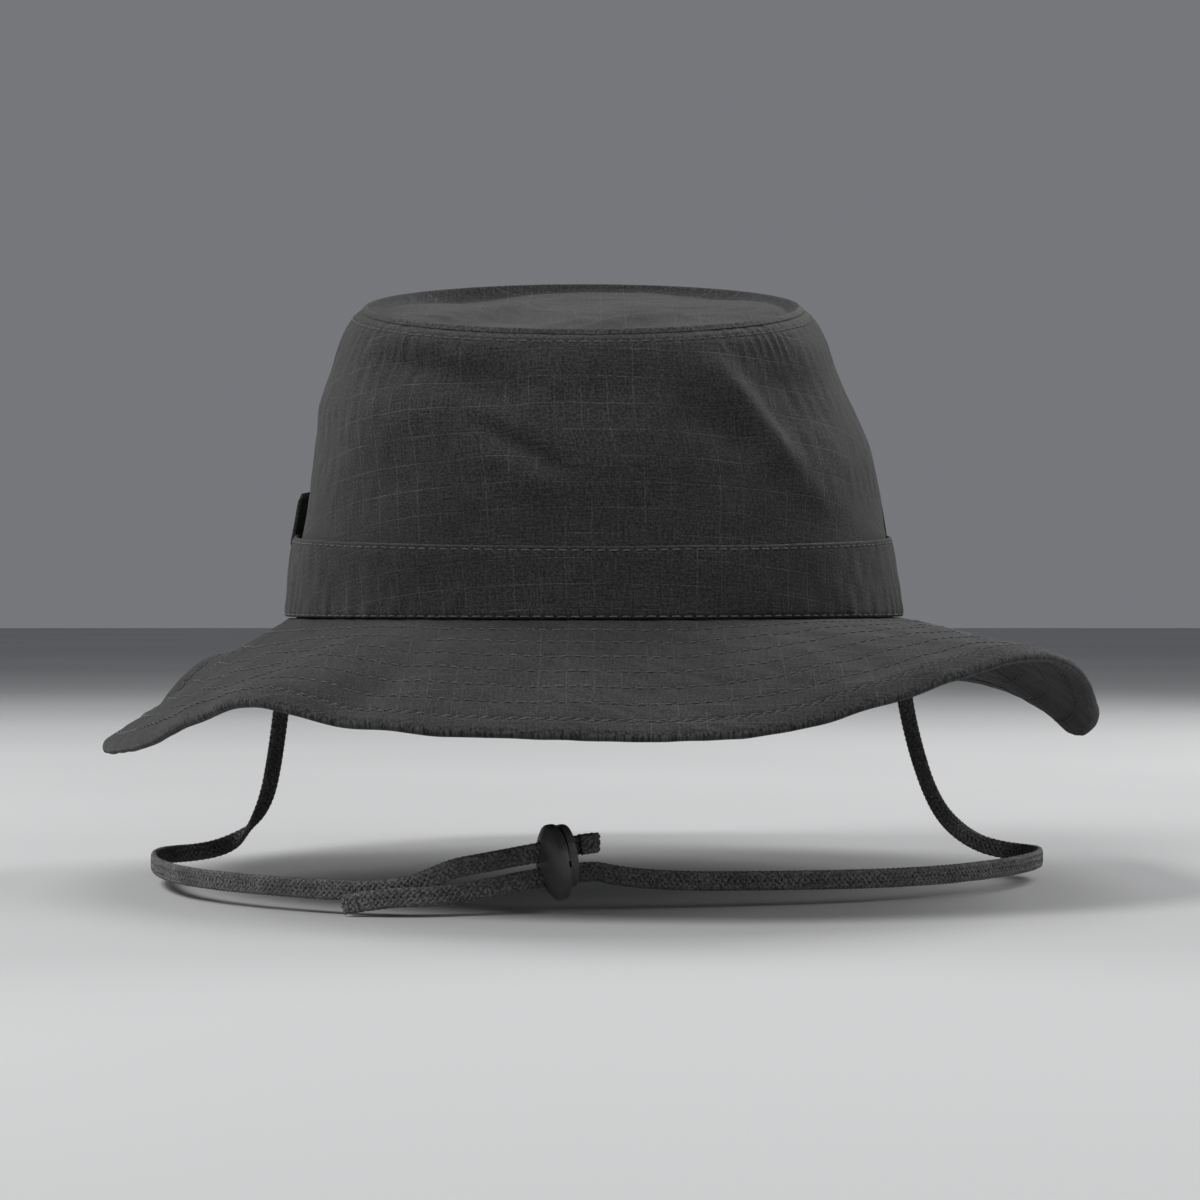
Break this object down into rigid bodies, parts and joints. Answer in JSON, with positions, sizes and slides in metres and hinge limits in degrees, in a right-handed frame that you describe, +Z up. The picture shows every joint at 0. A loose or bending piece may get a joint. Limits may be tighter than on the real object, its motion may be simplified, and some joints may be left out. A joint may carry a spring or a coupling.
{
  "type": "bucket hat",
  "caption": "Soft sun hat with a wavy stitched brim, a band round the crown and an adjustable chin loop with a cord slider.",
  "frame": {"origin": "centre of the head opening, in the plane of the seam between crown and brim", "axes": "+Z up through the crown, -Y towards the front of the hat, +X to the left hand of its wearer"},
  "size_m": [0.2985, 0.3198, 0.1857],
  "materials": {
    "ripstop": "matt woven cotton, small ripstop grid",
    "lining": "matt plain weave",
    "stiffener": "stiff felted interlining",
    "tape": "fine twill tape",
    "label": "satin woven tape, blank",
    "braid": "flat braided cord",
    "slider": "moulded, slight gloss"
  },
  "bodies": {
    "hat": {"crown_panel_front": "ripstop", "crown_panel_back": "ripstop", "crown_tip": "ripstop", "band_front": "ripstop", "band_back": "ripstop", "side_loop_left": "ripstop", "side_loop_right": "ripstop", "brim_upper_front": "ripstop", "brim_upper_back": "ripstop", "brim_under_front": "ripstop", "brim_under_back": "ripstop", "brim_stiffener": "stiffener", "sweatband": "lining", "tip_seam_tape": "tape", "side_seam_tape_left": "tape", "side_seam_tape_right": "tape", "blank_label": "label", "cord_anchor_left": "tape", "cord_anchor_right": "tape"},
    "chin_loop": {"chin_cord_left": "braid", "chin_cord_right": "braid"},
    "slider": {"slider_shell": "slider", "slider_plate": "slider"}
  },
  "joints": [
    {"name": "chin_loop_swing", "type": "hinge", "parent": "hat", "child": "chin_loop", "pos_m": [0, 0.004, -0.01], "axis": [1, 0, 0], "range_deg": [-17, 24]},
    {"name": "slider_slide", "type": "slide", "parent": "chin_loop", "child": "slider", "axis": [0.9426, 0.2949, 0.1569], "range_m": [-0.02, 0]}
  ]
}
